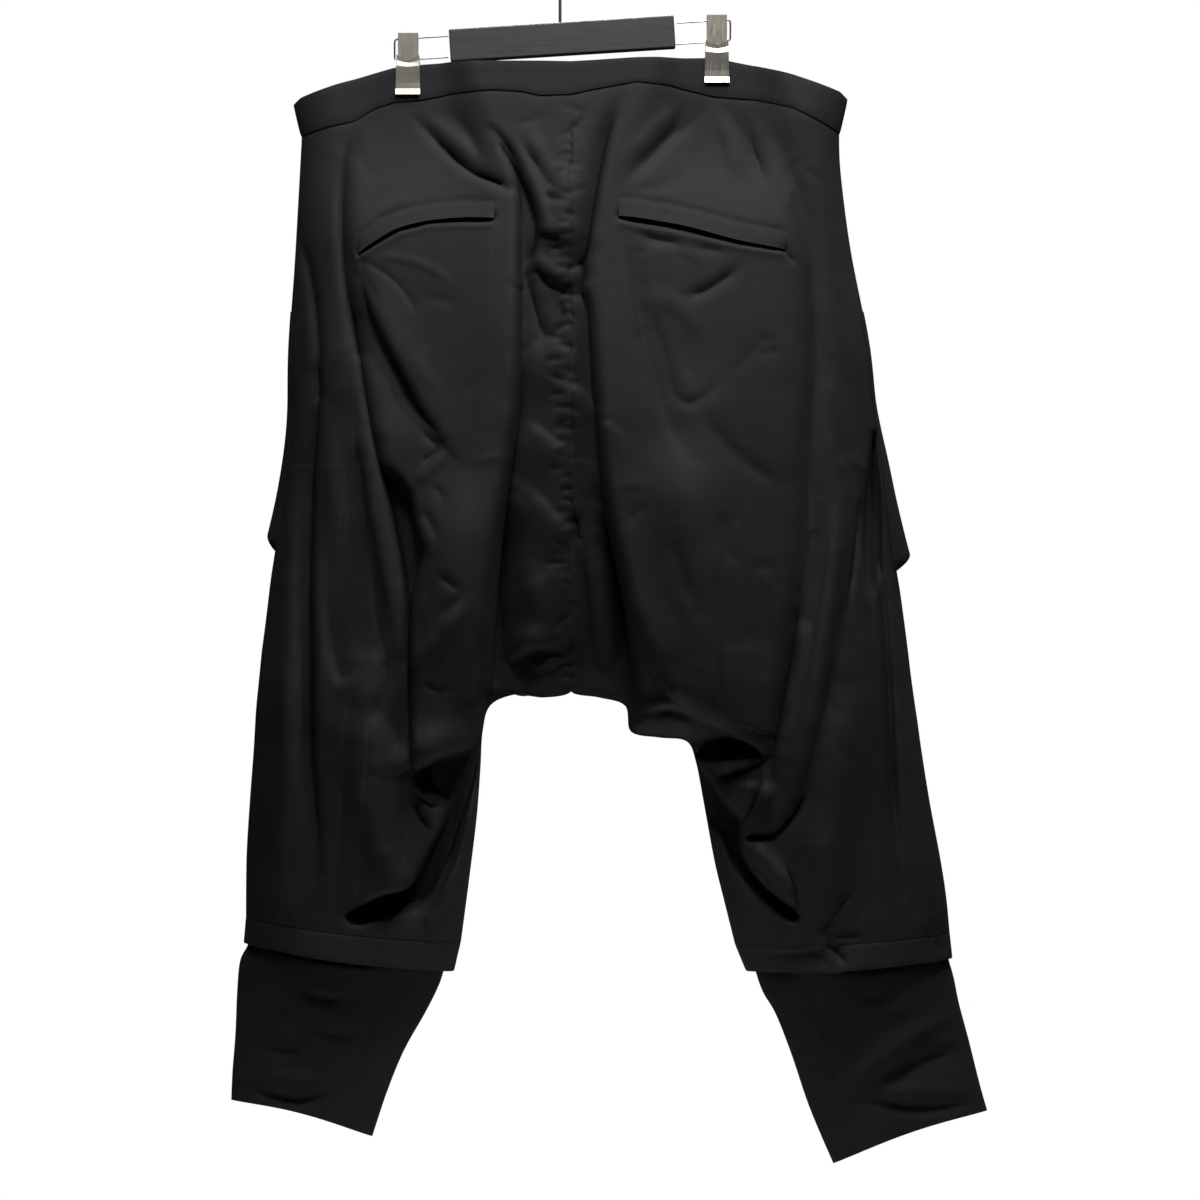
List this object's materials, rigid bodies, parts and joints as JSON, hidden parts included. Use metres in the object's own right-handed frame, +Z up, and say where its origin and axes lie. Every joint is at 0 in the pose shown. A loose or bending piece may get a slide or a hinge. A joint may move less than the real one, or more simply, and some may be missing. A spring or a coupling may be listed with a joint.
{
  "type": "harem trousers on a clip hanger",
  "caption": "Black drop-crotch trousers with welt back pockets, patch side pockets and tapered legs with narrower cuffs, hung by the waistband from a sliding clip hanger.",
  "frame": {"origin": "inside top of the hanger's hook, where it rests on a rod", "axes": "+Z up, -Y the front of the trousers, +X the wearer's left; the rod runs along Y"},
  "size_m": [0.643, 0.1196, 1.0576],
  "materials": {
    "twill": "matt black cotton twill",
    "cuff_cloth": "matt black jersey",
    "button": "satin black",
    "bar": "satin dark grey lacquer",
    "wire": "drawn steel wire",
    "clip": "brushed nickel"
  },
  "bodies": {
    "root": {"back_left": "twill", "back_right": "twill", "front_left": "twill", "front_right": "twill", "waistband_back": "twill", "waistband_front_left": "twill", "waistband_front_right": "twill", "hem_band_left": "twill", "hem_band_right": "twill", "cuff_left": "cuff_cloth", "cuff_right": "cuff_cloth", "welt_left": "twill", "welt_right": "twill", "side_pocket_left": "twill", "side_pocket_right": "twill", "fly_placket": "twill", "waist_button": "button", "hanger_bar": "bar", "hook": "wire", "wire_loop_left": "wire", "wire_loop_right": "wire", "clip_left": "clip", "clip_right": "clip"}
  },
  "joints": []
}
